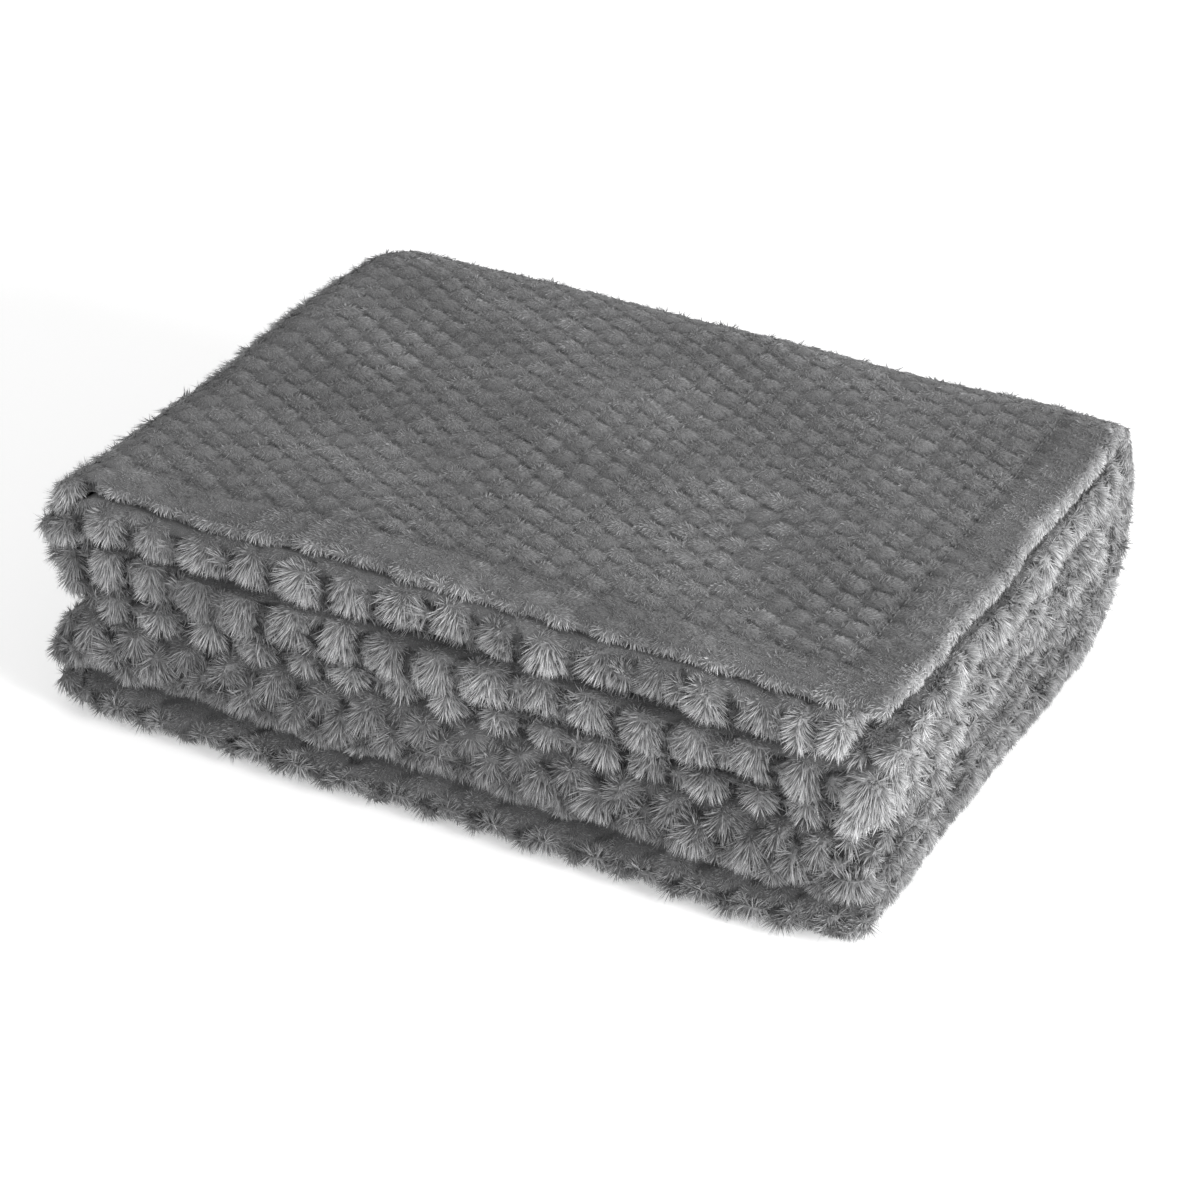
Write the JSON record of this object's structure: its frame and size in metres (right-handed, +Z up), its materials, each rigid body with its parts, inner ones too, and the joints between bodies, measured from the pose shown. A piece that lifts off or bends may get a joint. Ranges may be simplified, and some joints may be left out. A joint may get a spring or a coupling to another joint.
{
  "type": "folded throw blanket",
  "caption": "Thick double-faced fleece throw folded in half four times into a soft rectangular bundle, with the last fold as a hinge at the back.",
  "frame": {"origin": "bottom centre of the folded bundle, on the surface that it rests on", "axes": "+X along the long side to the hemmed end, +Y from the open front to the spine at the back, +Z up"},
  "size_m": [0.425, 0.34, 0.1265],
  "materials": {
    "fleece": "long soft pile with raised tufts",
    "hem_thread": "matte sewing thread"
  },
  "bodies": {
    "lower_half": {"front_left_corner_inner": "fleece", "front_left_corner_outer": "fleece", "front_right_corner": "fleece", "lower_front_bend_1": "fleece", "lower_front_bend_2": "fleece", "lower_front_bend_3": "fleece", "lower_front_bend_4": "fleece", "lower_leaf_1": "fleece", "lower_leaf_2": "fleece", "lower_leaf_3": "fleece", "lower_leaf_4": "fleece", "lower_leaf_5": "fleece", "lower_leaf_6": "fleece", "lower_leaf_7": "fleece", "lower_leaf_8": "fleece", "lower_left_bend_1": "fleece", "lower_left_bend_2": "fleece", "lower_left_bend_3": "fleece", "lower_left_bend_4": "fleece", "lower_right_bend_1": "fleece", "lower_right_bend_2": "fleece", "spine_bend_1": "fleece", "spine_bend_2": "fleece", "spine_bend_3": "fleece", "spine_bend_4": "fleece", "spine_bend_5": "fleece", "spine_bend_6": "fleece", "spine_bend_7": "fleece", "spine_bend_8": "fleece", "spine_left_corner_1": "fleece", "spine_left_corner_2": "fleece", "spine_left_corner_3": "fleece", "spine_left_corner_4": "fleece", "spine_right_corner_1": "fleece", "spine_right_corner_2": "fleece"},
    "upper_half": {"front_hem_stitching": "hem_thread", "right_hem_stitching": "hem_thread", "upper_leaf_1": "fleece", "upper_leaf_2": "fleece", "upper_leaf_3": "fleece", "upper_leaf_4": "fleece", "upper_leaf_5": "fleece", "upper_leaf_6": "fleece", "upper_leaf_7": "fleece", "upper_leaf_8": "fleece", "upper_left_bend_1": "fleece", "upper_left_bend_2": "fleece", "upper_left_bend_3": "fleece", "upper_left_bend_4": "fleece", "upper_right_bend_1": "fleece", "upper_right_bend_2": "fleece"}
  },
  "joints": [
    {"name": "half_fold", "type": "hinge", "parent": "lower_half", "child": "upper_half", "pos_m": [0, 0.10695, 0.06305], "axis": [-1, 0, 0], "range_deg": [0, 179], "deforming": ["spine_bend_1", "spine_bend_2", "spine_bend_3", "spine_bend_4", "spine_bend_5", "spine_bend_6", "spine_bend_7", "spine_bend_8", "spine_left_corner_1", "spine_left_corner_2", "spine_left_corner_3", "spine_left_corner_4", "spine_right_corner_1", "spine_right_corner_2"]}
  ]
}
